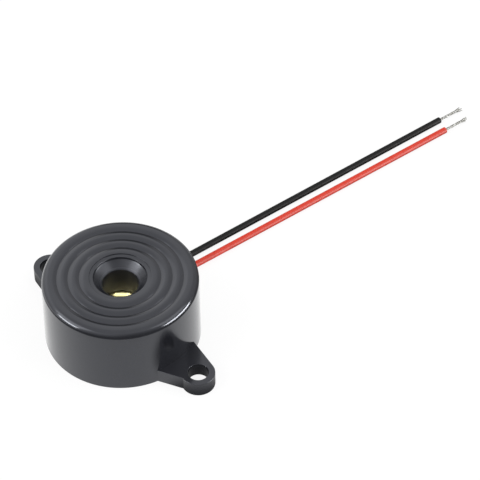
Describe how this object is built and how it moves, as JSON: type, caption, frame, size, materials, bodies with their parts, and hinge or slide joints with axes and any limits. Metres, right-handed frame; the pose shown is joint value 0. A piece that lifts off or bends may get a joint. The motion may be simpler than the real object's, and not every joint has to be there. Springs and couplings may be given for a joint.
{
  "type": "piezo buzzer",
  "caption": "Round black piezo buzzer with ringed front, central sound hole, two screw ears and a black and a red lead with stripped ends.",
  "frame": {"origin": "centre of the housing's open base, which rests on the surface", "axes": "+Z out of the sound hole, X through the two ear holes, the leads run towards +Y"},
  "size_m": [0.0464, 0.1064, 0.0148],
  "materials": {
    "black_abs": "satin gloss moulded",
    "brass": "rolled sheet",
    "piezo_ceramic": "fired, matt",
    "silver": "screen printed, matt",
    "silicone": "translucent bead",
    "board": "paper laminate",
    "copper": "etched foil",
    "black_epoxy": "moulded",
    "tinned_copper": "tinned strands",
    "chip_body": "glazed top",
    "chip_capacitor": "fired",
    "diode_glass": "glass body",
    "ferrite": "pressed, matt",
    "enamelled_copper": "enamelled wire",
    "red_pvc": "smooth insulation",
    "blue_pvc": "smooth insulation",
    "black_pvc": "smooth insulation",
    "solder": "bright solder",
    "potting": "cast epoxy"
  },
  "bodies": {
    "root": {"housing": "black_abs", "brass_disc": "brass", "ceramic_disc": "piezo_ceramic", "main_electrode": "silver", "feedback_electrode": "silver", "glue_ring": "silicone", "circuit_board": "board", "copper_pads": "copper", "transistor": "black_epoxy", "transistor_legs": "tinned_copper", "resistor_1": "chip_body", "resistor_2": "chip_body", "resistor_3": "chip_body", "capacitor": "chip_capacitor", "diode": "diode_glass", "diode_caps": "tinned_copper", "choke_core": "ferrite", "choke_winding": "enamelled_copper", "disc_wire_main": "red_pvc", "disc_wire_feedback": "blue_pvc", "disc_wire_brass": "black_pvc", "disc_solder": "solder", "board_solder": "solder", "lead_solder": "solder", "potting": "potting", "black_lead": "black_pvc", "black_lead_core": "tinned_copper", "red_lead": "red_pvc", "red_lead_core": "tinned_copper"}
  },
  "joints": []
}
